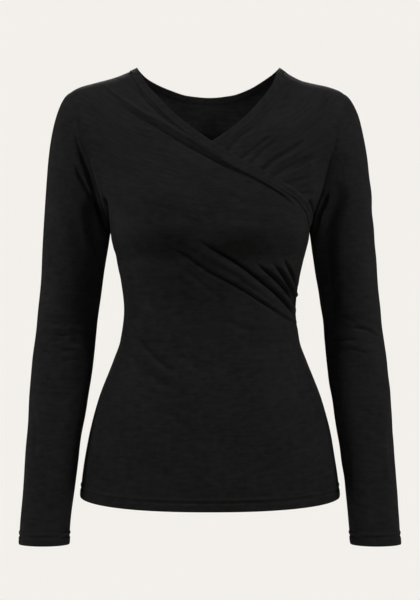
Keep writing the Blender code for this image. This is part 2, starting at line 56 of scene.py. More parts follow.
BAND_WIDTH = 0.0115
BACK_BAND_WIDTH = 0.0090
BAND_FLUSH = 0.90  # drop from which a neckband comes flush
UNDERLAP = 0.0022  # how far a panel runs on beneath its neckband
SHOULDER_TURN = 0.07  # share of a neckband in which its width turns along a shoulder seam,
SIDE_TURN = 0.14  # and along a side seam

# Trunk
UNDERARM = -0.224
HEM = -0.596
HEM_DIP = 0.0135
BACK_HEM_DIP = 0.010
SQUARE = 2.3  # 2 is an ellipse, more is squarer
FRONT_ROLL = 1.5  # how quickly the front falls away from the shoulder seam
BACK_ROLL = 2.2
ARMHOLE_FRONT = 0.052  # how far an armhole reaches forward of the shoulder seam,
ARMHOLE_BACK = 0.056  # and back of it
ARMHOLE_SQUARE = 2.5
ARMHOLE_ROUND = 0.45
UNDERARM_BEND = 0.0375  # between the seams, the trunk's sides bend softly at the underarm: how much,
UNDERARM_SOFT = 0.055  # in what drop above and below it,
INNER_SHARE = 0.55  # and in what share of the way to a seam in full
UNDERARM_ROUND = 0.05  # drop in which the shoulders' slope dies away at the underarm
FLATTEST = 0.93  # the most of the trunk's depth that an armhole takes
FRONT_RADIAN = 0.10  # cloth across the front for each radian
DROP_RADIAN = 0.6  # drop below an armhole that counts as a radian beside it
SOFT_REACH = 0.03  # the cloth stands out in directions that turn softly at the underarm,
SOFT_DROP = 0.3  # and less softly in this drop below the shoulder seams
SMALL = 1e-4  # step for working out directions
UNDER_HEM = -0.300  # lower edge of the under front, inside

# Sleeves
CAP_END = -0.300  # height where a sleeve becomes a plain tube
CAP_LEAVE = 0.42  # how strongly the cap keeps the direction in which it leaves the armhole,
CAP_ARRIVE = 1.05  # and the one in which it becomes a tube
CAP_STEP = 0.01  # height in which that one is measured
CAP_OUT = (0.55, 0.40)  # the first direction outwards, forward or back, and down
CAP_FORE = 0.12
CAP_DOWN = (0.80, 0.20)
CUFF = -0.6608
SLEEVE_RADIUS = 0.043  # turns an angle round a sleeve into a length, for its creases

# Cells
ARM_ROWS = 124  # rows of a trunk panel above the underarm
LOW_ROWS = 170
UNDER_ROWS = 34
END_ROWS = 8
COLUMNS = 158
SHOULDER_COLUMNS = 38  # of the back, along each shoulder seam
SLEEVE_COLUMNS = 136
SLEEVE_ROWS = 300
CAP_ROWS = 108
BAND_COLUMNS = 8
CAP_CLOSER = 1.25  # above 1, a cap's rows lie closer together at the armhole
EVEN_DROP = 0.8  # drop in which the back's columns become even

# Relief of the cloth
SIDE_FLAT = 0.22  # angle in which fullness dies away towards a side seam
SHOULDER_FLAT = 0.15  # and drop in which it does so towards a shoulder seam
CREASE_FLAT = 0.07  # creases die away much closer to a seam
SEAM_SINK = 0.00035  # how far the cloth sinks into a seam
SEAM_SOFT = 0.0036
ARMHOLE_LESS = 0.9  # the share less that it sinks along the lower armhole
ARMHOLE_LOW = (0.45, 0.4)  # the drop from which it does, and in which it comes to that
ARMHOLE_END = 0.04  # drop below the underarm in which it ends
CAP_LOW = (-0.1, 0.8)  # the same for a sleeve, as the cosine of its turn
CAP_SOFT = (0.006, 0.03)  # distances from a seam in which creases and unevenness begin
EDGE_SOFT = 0.02
BAND_SOFT = 0.012
BACK_SOFT = 0.014
HEM_DEPTH = 0.0145  # turned hem and cuffs, to the middle of their stitching
HEM_FOLD = 0.0009  # how much the turned layer adds, and in what distance
HEM_STEP = 0.0022
HEM_GROOVE = 0.0013  # how deep its lower row of stitches lies, and in what width
GROOVE_WIDTH = 0.0016
PUCKER = 0.3  # how much that depth varies, and along what two lengths
PUCKERS = (0.0071, 0.041)
EDGE_ROLL = 0.0005  # how far the very edge rolls in, and in what width
ROLL_WIDTH = 0.0014
NEEDLES = 0.0050  # between the two rows of a cover stitch
STITCH = 0.0026
STITCH_STEP = 0.0033
STITCH_AHEAD = 0.0008  # how far ahead a stitch points
THREAD = 0.00032
THREAD_HEIGHT = 0.8  # share of its width, and how much of that stands out
THREAD_OUT = 0.35
BAND_STITCHED = 0.0021  # how far a neckband's stitches lie from its seam
COLUMN_WIDTH = 0.0011  # of the knit
COURSE_HEIGHT = 0.0009
LOOP_SLANT = 1.3


def columns(names, rows):
    """A table as named columns."""
    return {name: np.array(column, float) for name, column in zip(names.split(), zip(*rows))}


# Rows lie closer together at folds, hem and cuff: shares of the rows, and of the way down
TRUNK_ROWS = columns("share place", [
    (0.00, 0.000),
    (0.50, 0.420),
    (0.87, 0.944),
    (1.00, 1.000),
])
TUBE_ROWS = columns("share place", [
    (0.00, 0.000),
    (0.42, 0.360),
    (0.87, 0.945),
    (1.00, 1.000),
])
TRUNK = columns("z half front back", [
    (-0.615, 0.1825, 0.1030, 0.1060),
    (-0.575, 0.1793, 0.1030, 0.1070),
    (-0.519, 0.1705, 0.1020, 0.1050),
    (-0.463, 0.1564, 0.1000, 0.0980),
    (-0.407, 0.1349, 0.0945, 0.0880),
    (-0.379, 0.1253, 0.0920, 0.0835),
    (-0.337, 0.1203, 0.0918, 0.0810),
    (-0.295, 0.1247, 0.0980, 0.0845),
    (-0.260, 0.1318, 0.1085, 0.0910),
    (-0.240, 0.1360, 0.1142, 0.0955),
    (-0.224, 0.1385, 0.1160, 0.0980),
    (-0.208, 0.1410, 0.1160, 0.0980),
])
ARMHOLE = columns("drop right left", [
    (0.00, 0.1960, 0.1885),
    (0.10, 0.1925, 0.1860),
    (0.22, 0.1865, 0.1815),
    (0.42, 0.1760, 0.1730),
    (0.54, 0.1670, 0.1650),
    (0.70, 0.1580, 0.1570),
    (0.82, 0.1505, 0.1500),
    (1.00, 0.1385, 0.1385),
])
SHOULDER = columns("x right left", [
    (0.000, 0.0100, 0.0100),
    (0.080, 0.0060, 0.0045),
    (0.096, 0.0020, 0.0000),
    (0.112, -0.0050, -0.0102),
    (0.128, -0.0118, -0.0180),
    (0.145, -0.0172, -0.0223),
    (0.162, -0.0216, -0.0262),
    (0.178, -0.0260, -0.0312),
    (0.190, -0.0314, -0.0385),
    (0.205, -0.0420, -0.0500),
])
OVER_EDGE = columns("x z", [
    (-0.1013, 0.0000),
    (-0.0865, -0.0270),
    (-0.0685, -0.0478),
    (-0.0435, -0.0735),
    (-0.0020, -0.1053),
    (0.0485, -0.1370),
    (0.0880, -0.1590),
    (0.1215, -0.1800),
    (0.1340, -0.2000),
    (0.1385, -0.2240),
])
UNDER_EDGE = columns("x z", [
    (0.0959, 0.0000),
    (0.0856, -0.0262),
    (0.0755, -0.0417),
    (0.0629, -0.0570),
    (0.0445, -0.0769),
    (0.0041, -0.1066),
    (-0.0485, -0.1390),
    (-0.0880, -0.1610),
    (-0.1215, -0.1820),
    (-0.1340, -0.2020),
    (-0.1385, -0.2240),
])
BACK_EDGE = columns("x z", [
    (-0.1013, 0.0000),
    (-0.0900, -0.0098),
    (-0.0760, -0.0175),
    (-0.0570, -0.0250),
    (-0.0310, -0.0325),
    (0.0000, -0.0350),
    (0.0300, -0.0322),
    (0.0550, -0.0243),
    (0.0720, -0.0155),
    (0.0860, -0.0070),
    (0.0959, 0.0000),
])
SLEEVE = columns("z outer_right inner_right outer_left inner_left middle half", [
    (-0.670, 0.2646, 0.1958, 0.2644, 0.1956, -0.030, 0.0315),
    (-0.631, 0.2626, 0.1932, 0.2626, 0.1925, -0.026, 0.0325),
    (-0.575, 0.2592, 0.1870, 0.2592, 0.1866, -0.019, 0.0345),
    (-0.519, 0.2556, 0.1800, 0.2556, 0.1793, -0.011, 0.0370),
    (-0.463, 0.2530, 0.1709, 0.2528, 0.1705, -0.003, 0.0400),
    (-0.407, 0.2489, 0.1628, 0.2475, 0.1632, 0.004, 0.0425),
    (-0.351, 0.2421, 0.1578, 0.2407, 0.1581, 0.008, 0.0445),
    (-0.295, 0.2373, 0.1499, 0.2352, 0.1497, 0.008, 0.0470),
    (-0.239, 0.2335, 0.1429, 0.2309, 0.1422, 0.006, 0.0500),
])
FULLNESS = [  # of the bust: x, z, width, height, and how far it stands out
    (-0.074, -0.203, 0.058, 0.056, 0.0115),
    (0.074, -0.203, 0.058, 0.056, 0.0115),
    (0.000, -0.225, 0.026, 0.060, -0.0035),
]

# Creases, in millimetres: height (a ridge above 0, a trough below), width, and the points on each.
# On the trunk a point is X and Z, and on a sleeve its angle (0 inside the arm, 90 front) and Z.
OVER_CREASES = [
    (3, 3.6, (-150, -24), (-134, -37), (-115, -52), (-82, -74), (-63, -83), (-42, -96), (-16, -112),
     (10, -129), (32, -144), (56, -157), (77, -169), (98, -182), (116, -196)),
    (-2.6, 2.6, (-120, -59), (-108, -65), (-81, -83), (-61, -96), (-41, -109), (-23, -120), (-4, -130),
     (18, -142), (33, -149), (50, -158)),
    (-1.7, 2.2, (4, -134), (18, -141), (33, -148), (46, -155), (78, -173), (108, -193)),
    (-1.1, 7, (-116, -68), (-81, -90), (-41, -116), (-4, -137), (33, -157), (78, -181)),
    (-1.8, 2.8, (-101, -24), (-92, -46), (-77, -63), (-62, -77), (-52, -86), (-40, -96), (-30, -104)),
    (1.4, 2.8, (92, -166), (105, -173), (115, -180), (126, -188), (133, -199), (137, -212), (138, -224)),
    (-1.1, 6, (-4, -154), (3, -159), (30, -167), (54, -186)),
    (-1.1, 6, (20, -178), (40, -190), (60, -196), (90, -198)),
    (1.3, 4, (-160, -128), (-152, -160), (-144, -192)),
    (-8, 3.6, (-143, -180), (-140, -194), (-139, -210), (-137, -232)),
    (2.8, 15, (-134, -224), (-92, -229), (-60, -230), (-20, -224)),
    (2.8, 15, (6, -224), (50, -231), (88, -231), (130, -224)),
    (-4.2, 15, (-132, -256), (-96, -264), (-62, -265), (-20, -258)),
    (-4.2, 15, (6, -258), (50, -266), (88, -267), (128, -258)),
    (-6.6, 2.7, (-17, -242), (-7, -247), (9, -257), (24, -266), (40, -276), (57, -288), (72, -300),
     (91, -315), (107, -331), (120, -348), (136, -368)),
    (1.5, 4.2, (-36, -244), (0, -264), (45, -291), (79, -318), (100, -334)),
    (-4.4, 2.5, (-60, -246), (-33, -261), (-15, -275), (6, -288), (33, -302), (57, -317), (82, -334),
     (104, -348), (120, -358), (140, -370)),
    (-6.4, 2.6, (62, -273), (72, -281), (88, -294), (104, -310), (118, -328), (132, -348)),
    (-5.4, 2.5, (84, -272), (94, -283), (104, -297), (116, -317), (130, -342)),
    (-5, 2.5, (100, -266), (109, -283), (119, -304), (130, -328)),
    (1.5, 4.4, (-8, -272), (30, -297), (62, -317), (92, -338), (116, -354)),
    (1.6, 2.6, (78, -277), (92, -291), (106, -308), (122, -332)),
    (1.8, 2.6, (93, -270), (103, -286), (115, -307), (126, -330)),
    (-1.6, 3.4, (-58, -262), (-34, -282), (-8, -304), (14, -322)),
    (-1.5, 5.6, (20, -350), (40, -360), (62, -367)),
    (2.6, 4.6, (-110, -362), (-94, -387), (-76, -409), (-58, -425), (-42, -432)),
    (-3.2, 3.4, (-114, -378), (-99, -402), (-82, -421), (-64, -436), (-48, -443)),
    (-2.4, 3.2, (-96, -372), (-80, -394), (-62, -412), (-42, -424)),
    (-2.6, 3.4, (-118, -362), (-113, -386), (-105, -407)),
    (-1.3, 4.6, (-34, -364), (-19, -389)),
    (-1.5, 5.2, (-46, -395), (-20, -412), (6, -427)),
    (-1.9, 4.4, (-126, -260), (-114, -276), (-98, -300)),
    (1.3, 4.4, (-124, -276), (-113, -292), (-102, -312)),
    (-1.4, 7.2, (-60, -470), (-30, -500), (-22, -540)),
    (1.3, 8, (70, -440), (84, -480), (82, -530)),
]
UNDER_CREASES = [
    (-1.8, 3.6, (6, -138), (24, -120), (41, -103), (65, -84)),
    (-2.2, 3.6, (22, -150), (45, -131), (62, -117), (86, -99)),
    (-1.6, 3.6, (36, -154), (54, -140), (70, -123), (95, -103)),
    (-3.6, 3.4, (52, -163), (72, -146), (85, -135), (105, -122), (128, -105)),
    (1.8, 4, (92, -140), (110, -127), (134, -112)),
    (-3.8, 3.4, (66, -170), (85, -156), (104, -144), (118, -137), (141, -122)),
    (1.6, 4, (108, -152), (124, -144), (142, -134)),
    (-3, 3.2, (84, -178), (102, -167), (118, -160), (133, -157)),
    (-2.4, 3.2, (104, -188), (122, -180), (140, -177)),
    (-4.4, 4.5, (132, -184), (138, -198), (141, -216)),
]
BACK_CREASES = [
    (-3.9, 6.4, (-118, -290), (-80, -312), (-30, -326)),
    (2.2, 6.4, (-116, -304), (-76, -327), (-30, -341)),
    (-3.6, 6.4, (120, -298), (84, -322), (36, -340)),
    (-3.1, 5.6, (-118, -322), (-70, -346), (-10, -356), (30, -352)),
    (-2.8, 5.6, (118, -330), (80, -352), (30, -366), (-16, -368)),
    (2, 6.4, (-60, -334), (0, -345), (60, -340)),
    (-2.2, 5.6, (-112, -352), (-70, -376), (-24, -386)),
    (-2.1, 4.8, (116, -360), (90, -380), (50, -392)),
    (-2.2, 6.4, (-146, -150), (-128, -182), (-84, -206)),
    (-2.1, 6.4, (147, -150), (128, -186), (92, -208)),
    (-1.5, 8, (-60, -70), (0, -84), (60, -68)),
    (-1.7, 7.2, (-96, -400), (-80, -450), (-76, -500)),
    (-1.4, 7.2, (90, -410), (80, -452), (84, -510)),
]
RIGHT_CREASES = [
    (-6.5, 3, (112, -98), (102, -113), (91, -131), (80, -150), (66, -172), (55, -189), (46, -202),
     (32, -215), (10, -234)),
    (-4.5, 7, (70, -176), (56, -194), (42, -210), (26, -224), (6, -240)),
    (1.8, 3.2, (96, -130), (80, -158), (63, -184), (49, -204)),
    (-5.4, 3.2, (99, -138), (91, -153), (82, -164), (70, -177), (54, -193), (37, -210), (26, -220)),
    (-4.2, 7.5, (74, -184), (66, -200), (58, -220), (45, -247), (30, -274), (8, -302)),
    (1.4, 6, (92, -180), (82, -206), (70, -236), (60, -264)),
    (-0.7, 2.8, (138, -329), (118, -326), (100, -327)),
    (-1.4, 3, (128, -351), (112, -356), (92, -355)),
    (-1.5, 2.6, (112, -368), (97, -373), (78, -371)),
    (-1.6, 3, (78, -368), (60, -369), (40, -372), (20, -376)),
    (-1.1, 2.6, (124, -384), (104, -380), (84, -379)),
    (-1.7, 3, (76, -380), (56, -383), (36, -390), (16, -392)),
    (0.8, 3.4, (120, -361), (96, -363), (66, -361)),
    (0.8, 3.4, (100, -388), (70, -389), (44, -398)),
    (-1.1, 3, (98, -396), (67, -392), (40, -395)),
    (-0.9, 3.2, (92, -409), (70, -406), (44, -407)),
    (-2.5, 4.8, (330, -352), (290, -366), (240, -362)),
    (-2.8, 4.8, (330, -378), (285, -388), (225, -380)),
    (-2.1, 4.8, (320, -402), (280, -410), (240, -402)),
    (-2.5, 6.4, (290, -160), (310, -190), (335, -218)),
    (-1.7, 7.2, (150, -470), (130, -500), (126, -540)),
    (1.4, 7.2, (60, -450), (70, -500), (66, -560)),
]
LEFT_CREASES = [
    (-8, 3.4, (70, -176), (56, -192), (44, -206), (34, -220), (20, -238)),
    (-8.5, 13, (92, -164), (84, -184), (74, -200), (62, -218), (54, -238), (48, -262), (46, -293),
     (46, -324), (44, -356)),
    (-4, 12, (36, -340), (38, -390), (40, -450), (40, -520), (38, -600)),
    (1.6, 3.4, (56, -186), (50, -202), (42, -218)),
    (-0.9, 2.8, (68, -346), (85, -352), (100, -359)),
    (-2.2, 2.6, (84, -361), (96, -363), (108, -364), (126, -369), (146, -377)),
    (-1.7, 2.8, (30, -379), (46, -380), (69, -378), (92, -378)),
    (-1.4, 2.6, (70, -389), (91, -394), (110, -399)),
    (-1.7, 3, (24, -391), (39, -392), (62, -391), (76, -392)),
    (1.1, 3, (88, -355), (108, -358), (130, -363)),
    (0.8, 3, (44, -386), (70, -384), (92, -386)),
    (-0.9, 3.2, (40, -412), (73, -409), (96, -410)),
    (-2.5, 4.8, (330, -356), (290, -368), (240, -360)),
    (-2.8, 4.8, (330, -380), (280, -392), (228, -386)),
    (-2, 4.8, (318, -404), (285, -412), (250, -406)),
    (-2.5, 6.4, (290, -160), (310, -190), (335, -218)),
    (1.3, 7.2, (140, -480), (128, -520), (130, -570)),
]


def curve(start, end, leave, arrive, t):
    """A cubic curve between two values or points, with how it leaves and arrives; t runs from 0 to 1."""
    from_start = start * (1 + 2 * t) * (1 - t) ** 2 + leave * t * (1 - t) ** 2
    return from_start + end * (3 - 2 * t) * t ** 2 - arrive * t ** 2 * (1 - t)


def smooth(xs, ys, at):
    """The value at a place in a table, on a cubic curve through its points that never overshoots them."""
    step = np.diff(xs)
    rise = np.diff(ys) / step
    slope = np.concatenate(([rise[0]], np.zeros(len(rise) - 1), [rise[-1]]))
    product = rise[:-1] * rise[1:]
    total = rise[:-1] + rise[1:]
    slope[1:-1] = np.where(product > 0, 2 * product / np.where(product > 0, total, 1), 0)
    at = np.clip(at, xs[0], xs[-1])
    k = np.clip(np.searchsorted(xs, at, side="right") - 1, 0, len(step) - 1)
    u = (at - xs[k]) / step[k]
    return curve(ys[k], ys[k + 1], slope[k] * step[k], slope[k + 1] * step[k], u)


def read(table, column, at):
    """The value of a table's column at a place in its first column."""
    return smooth(next(iter(table.values())), table[column], at)


def ease(value):
    """0 below 0, 1 above 1, and a soft step between."""
    value = np.clip(value, 0, 1)
    return value * value * (3 - 2 * value)


def mix(start, end, share):
    """The value a share of the way from start to end."""
    return start + (end - start) * share


def shoulder_height(x):
    """The height of the shoulder seam, or of its line carried across the neck."""
    right = read(SHOULDER, "right", np.abs(x))
    left = read(SHOULDER, "left", np.abs(x))
    return np.where(x < 0, right, left)


def drop_at(x, z):
    """How far down a point lies: 0 at the shoulder seam, 1 at the underarm, and on below it."""
    top = shoulder_height(x)
    return np.where(z < UNDERARM, z / UNDERARM, (top - z) / (top - UNDERARM))


def height_at(x, drop):
    """The height of a point of the trunk from its drop."""
    above = (np.hypot(1 - drop, UNDERARM_ROUND) + 1 - drop) / 2
    return UNDERARM * drop + shoulder_height(x) * above


def armhole_reach(drop, reach):
    """How far the armhole lies forward or back of the shoulder seam."""
    return reach * np.maximum(0, 1 - np.abs(1 - 2 * drop) ** ARMHOLE_SQUARE) ** ARMHOLE_ROUND


def front_depth(face, drop):
    """How deep the trunk is at its middle; face is -1 for the front, 1 for the back."""
    z = UNDERARM * np.maximum(drop, 1)
    full = read(TRUNK, "front" if face < 0 else "back", z) - WALL
    roll = FRONT_ROLL if face < 0 else BACK_ROLL
    return full * np.sqrt(1 - (1 - np.clip(drop, 0, 1)) ** roll)


def ring(face, drop):
    """The trunk's ring: half widths to both sides, depth, and the angle where an armhole cuts it off."""
    above = np.clip(drop, SMALL, 1)
    reach = armhole_reach(above, ARMHOLE_FRONT if face < 0 else ARMHOLE_BACK)
    share = np.minimum(reach / front_depth(face, above), FLATTEST)
    spread = (1 - share ** SQUARE) ** (1 / SQUARE)
    below = read(TRUNK, "half", UNDERARM * np.maximum(drop, 1))
    right = np.where(drop > 1, below, read(ARMHOLE, "right", above)) - WALL
    left = np.where(drop > 1, below, read(ARMHOLE, "left", above)) - WALL
    return right / spread, left / spread, front_depth(face, drop), np.arcsin(spread ** (SQUARE / 2))


def trunk(face, angle, drop):
    """A point of the trunk; angle is 0 at the centre, and a quarter turn at a side seam."""
    right, left, depth, widest = ring(face, drop)
    sine = np.abs(np.sin(angle)) ** (2 / SQUARE)
    inner = 1 - ease((np.abs(angle) / widest - INNER_SHARE) / (1 - INNER_SHARE))
    bend = UNDERARM_BEND * (np.hypot(drop - 1, UNDERARM_SOFT) - np.abs(drop - 1)) * inner
    x = np.where(angle < 0, -right - bend, left + bend) * sine
    y = face * (depth * np.abs(np.cos(angle)) ** (2 / SQUARE) - SEWN_IN)
    low = ease((drop - 1) / (HEM / UNDERARM - 1)) ** 2
    dip = HEM_DIP if face < 0 else BACK_HEM_DIP
    z = height_at(x, drop) - dip * np.cos(angle) * low
    return np.stack((x, y, z), axis=-1)


def angle_of(face, x, drop):
    """The angle at which the trunk's ring has a given X."""
    right, left, _, _ = ring(face, drop)
    half = np.where(x < 0, right, left)
    return np.sign(x) * np.arcsin(np.clip(np.abs(x) / half, 0, 1) ** (SQUARE / 2))


def slopes(face, angle, root, reach=SMALL):
    """How far a point of the trunk moves for each step of angle, and of the square root of its drop."""
    low, high = np.maximum(angle - SMALL, -math.pi / 2), np.minimum(angle + SMALL, math.pi / 2)
    by_angle = (trunk(face, high, root ** 2) - trunk(face, low, root ** 2)) / (high - low)[..., None]
    before = np.maximum(root - reach, 0)
    by_root = trunk(face, angle, (root + reach) ** 2) - trunk(face, angle, before ** 2)
    by_root = by_root / (root + reach - before)[..., None]
    return by_angle, by_root


def across_path(face, angle, root, aim):
    """Steps of one metre in angle and root, along the cloth and square to a path on the trunk."""
    by_angle, by_root = slopes(face, angle, root)
    a, b = np.gradient(angle), np.gradient(root)
    aa = (by_angle * by_angle).sum(-1)
    ab = (by_angle * by_root).sum(-1)
    bb = (by_root * by_root).sum(-1)
    turn = np.stack((-(ab * a + bb * b), aa * a + ab * b), axis=-1) * aim
    reach = np.linalg.norm(by_angle * turn[:, :1] + by_root * turn[:, 1:], axis=-1)
    return turn / reach[:, None]


def edge_path(face, edge, meets_side, count=240):
    """A neck edge as angles and drops, evenly along its length, its ends on the shoulder or side seams."""
    along = np.concatenate(([0], np.cumsum(np.hypot(np.diff(edge["x"]), np.diff(edge["z"])))))
    at = np.linspace(0, along[-1], count)
    x, z = smooth(along, edge["x"], at), smooth(along, edge["z"], at)
    drop = drop_at(x, z)
    last = drop[-1] - (1 if meets_side else 0)
    drop = np.maximum(drop - mix(drop[0], last, at / along[-1]), 0)
    return angle_of(face, x, drop), drop


def neckband_paths(face, edge, width, aim, meets_side):
    """The two long edges of a neckband as angles and drops: the neck edge, and the seam that joins it on.

    Its ends run along the shoulder seams, or the last one down the side seam.
    """
    angle, drop = edge_path(face, edge, meets_side)
    root = np.sqrt(drop)
    step = across_path(face, angle, root, aim)
    by_angle, _ = slopes(face, angle, root)
    outwards = np.sign(angle) / np.linalg.norm(by_angle, axis=-1)
    along_shoulder = np.stack((outwards, np.zeros_like(angle)), axis=-1)
    along_side = np.array((0, -0.5 / UNDERARM))
    place = np.linspace(0, 1, len(angle))
    step = mix(step, along_shoulder, 1 - ease(place / SHOULDER_TURN)[:, None])
    if meets_side:
        step = mix(step, along_side, ease((place - 1 + SIDE_TURN) / SIDE_TURN)[:, None])
    else:
        step = mix(step, along_shoulder, 1 - ease((1 - place) / SHOULDER_TURN)[:, None])
    limit = math.pi / 2
    seam_angle = np.clip(angle + step[:, 0] * width, -limit, limit)
    seam_root = root + step[:, 1] * width
    if meets_side:
        seam_root = np.maximum.accumulate(seam_root)
    return angle, drop, seam_angle, seam_root ** 2


# Of each neckband, and of the panel's edge beneath it
WIDTHS, BACK_WIDTHS = (BAND_WIDTH, BAND_WIDTH - UNDERLAP), (BACK_BAND_WIDTH, BACK_BAND_WIDTH - UNDERLAP)
OVER_PATHS, OVER_SEAM = (neckband_paths(-1, OVER_EDGE, width, 1, True) for width in WIDTHS)
UNDER_PATHS, UNDER_SEAM = (neckband_paths(-1, UNDER_EDGE, width, -1, True) for width in WIDTHS)
BACK_PATHS, BACK_SEAM = (neckband_paths(1, BACK_EDGE, width, 1, False) for width in BACK_WIDTHS)


def closer_at_ends(share):
    """Places from 0 to 1 that lie closer together at both ends."""
    return np.sin(math.pi / 2 * np.clip(share, 0, 1)) ** 2


def trunk_drop(v, low_rows, end):
    """The drop of a trunk panel's row; v is 0 at its lower edge. A row lies at the neckband seam's end."""
    row = (1 - v) * (ARM_ROWS + low_rows)
    band_end = OVER_SEAM[3][-1] - 1
    below = np.clip((row - ARM_ROWS) / END_ROWS, 0, 1) * band_end
    low = np.clip((row - ARM_ROWS - END_ROWS) / (low_rows - END_ROWS), 0, 1)
    low = read(TRUNK_ROWS, "place", low) if end == HEM else low
    return closer_at_ends(row / ARM_ROWS) + below + low * (end / UNDERARM - 1 - band_end)


def front_layout(low_rows, end, over):
    """Angle and drop of a front's cloth, from its neckband's seam to its own armhole and side seam."""
    seam = OVER_SEAM if over else UNDER_SEAM

    def at(u, v):
        drop = trunk_drop(v, low_rows, end)
        _, _, _, widest = ring(-1, drop)
        far = widest if over else -widest
        neck = np.where(drop < seam[3][-1] - 1e-6, np.interp(drop, seam[3], seam[2]), far)
        return (mix(-widest, neck, u) if over else mix(neck, widest, u)), drop
    return at


def back_layout(u, v):
    """Angle and drop of the back's cloth; its upper edge is shoulder, neck and shoulder seam."""
    row = trunk_drop(v, LOW_ROWS, HEM)
    neck_share = SHOULDER_COLUMNS / COLUMNS
    along = closer_at_ends((1 - neck_share - u) / (1 - 2 * neck_share))
    places = np.linspace(0, 1, len(BACK_SEAM[2]))
    neck = np.interp(along, places, BACK_SEAM[2])
    neck_drop = np.interp(along, places, BACK_SEAM[3])
    _, _, _, at_shoulder = ring(1, np.zeros_like(u))
    outwards = np.clip(np.maximum(neck_share - u, u - 1 + neck_share) / neck_share, 0, 1)
    top = mix(neck, np.sign(0.5 - u) * at_shoulder, outwards)
    drop = row + neck_drop * np.maximum(0, 1 - row)
    _, _, _, widest_at_top = ring(1, neck_drop)
    _, _, _, widest = ring(1, drop)
    share = mix(top / widest_at_top, 1 - 2 * u, ease(row / EVEN_DROP))
    return share * widest, drop


def band_layout(paths, panel_seam=None):
    """Angle and drop of a neckband's cloth; u runs across it from the neck edge, v along it."""
    places = np.linspace(0, 1, len(paths[0]))

    def at(u, v):
        if panel_seam:
            row = v * (ARM_ROWS + END_ROWS)
            below = np.clip((row - ARM_ROWS) / END_ROWS, 0, 1)
            drop = closer_at_ends(row / ARM_ROWS) + below * (OVER_SEAM[3][-1] - 1)
            v = np.interp(drop, panel_seam[3], places)
        else:
            v = closer_at_ends(v)
        edge = np.interp(v, places, paths[0]), np.interp(v, places, paths[1])
        seam = np.interp(v, places, paths[2]), np.interp(v, places, paths[3])
        return mix(edge[0], seam[0], u), mix(edge[1], seam[1], u)
    return at


def sleeve_ring(side, turn, z):
    """A point of a sleeve below its cap; turn is 0 inside the arm and a half turn outside it."""
    name = "right" if side < 0 else "left"
    outer = read(SLEEVE, "outer_" + name, z) - WALL
    inner = read(SLEEVE, "inner_" + name, z) + WALL
    x = side * ((outer + inner) / 2 - (outer - inner) / 2 * np.cos(turn))
    y = read(SLEEVE, "middle", z) - read(SLEEVE, "half", z) * np.sin(turn)
    return np.stack((x, y, z), axis=-1)


def sleeve(side, turn, v):
    """A point of a sleeve: its cap springs from the armhole and becomes a plain tube; v is 1 at the cuff."""
    cap_share = CAP_ROWS / SLEEVE_ROWS
    cosine, sine = np.cos(turn), np.sin(turn)
    drop = (1 + cosine) / 2
    reach = armhole_reach(drop, np.where(sine > 0, ARMHOLE_FRONT, ARMHOLE_BACK))
    edge = read(ARMHOLE, "right" if side < 0 else "left", drop) - WALL
    start = np.stack((side * edge, -np.sign(sine) * reach, height_at(side * edge, drop)), axis=-1)
    clear = mix(SEAM_GAP, 2 * WALL + 2 * SEAM_GAP, ((cosine + 1) / 2) ** 2)
    start[..., 0] += side * clear
    out, down = CAP_OUT[0] - CAP_OUT[1] * cosine, -CAP_DOWN[0] - CAP_DOWN[1] * cosine
    leave = np.stack((side * out, -CAP_FORE * sine, down), axis=-1)
    end = sleeve_ring(side, turn, np.full_like(turn, CAP_END))
    arrive = (sleeve_ring(side, turn, np.full_like(turn, CAP_END - CAP_STEP)) - end) / CAP_STEP
    length = np.linalg.norm(end - start, axis=-1)[..., None]
    t = (np.clip(v / cap_share, 0, 1) ** CAP_CLOSER)[..., None]
    cap = curve(start, end, leave * length * CAP_LEAVE, arrive * length * CAP_ARRIVE, t)
    low = np.clip((v - cap_share) / (1 - cap_share), 0, 1)
    low = read(TUBE_ROWS, "place", low)
    tube = sleeve_ring(side, turn, mix(CAP_END, CUFF, low))
    return np.where(v[..., None] < cap_share, cap, tube)


def outward(first, second):
    """Unit vectors square to two directions."""
    square = np.cross(first, second)
    return square / np.maximum(np.linalg.norm(square, axis=-1), 1e-12)[..., None]


def fullness(x, z):
    """The bust's soft fullness."""
    total = np.zeros_like(x)
    for middle, level, width, height, out in FULLNESS:
        far = ((x - middle) / width) ** 2 + ((z - level) / height) ** 2
        total += out * np.exp(-far)
    return total


def lengths_along(points, axis=0):
    """Distances of points from the first, along the rows or columns that they form."""
    steps = np.linalg.norm(np.diff(points, axis=axis), axis=-1)
    return np.insert(steps.cumsum(axis=axis), 0, 0, axis=axis)


def curve_through(points, count=14):
    """Even places on a soft curve through a crease's points."""
    points = np.array(points, float)
    along = lengths_along(points)
    at = np.linspace(0, along[-1], count)
    tangents = np.gradient(points, along, axis=0)
    k = np.clip(np.searchsorted(along, at, side="right") - 1, 0, len(points) - 2)
    span = (along[k + 1] - along[k])[:, None]
    t = (at - along[k])[:, None] / span
    return curve(points[k], points[k + 1], tangents[k] * span, tangents[k + 1] * span, t)


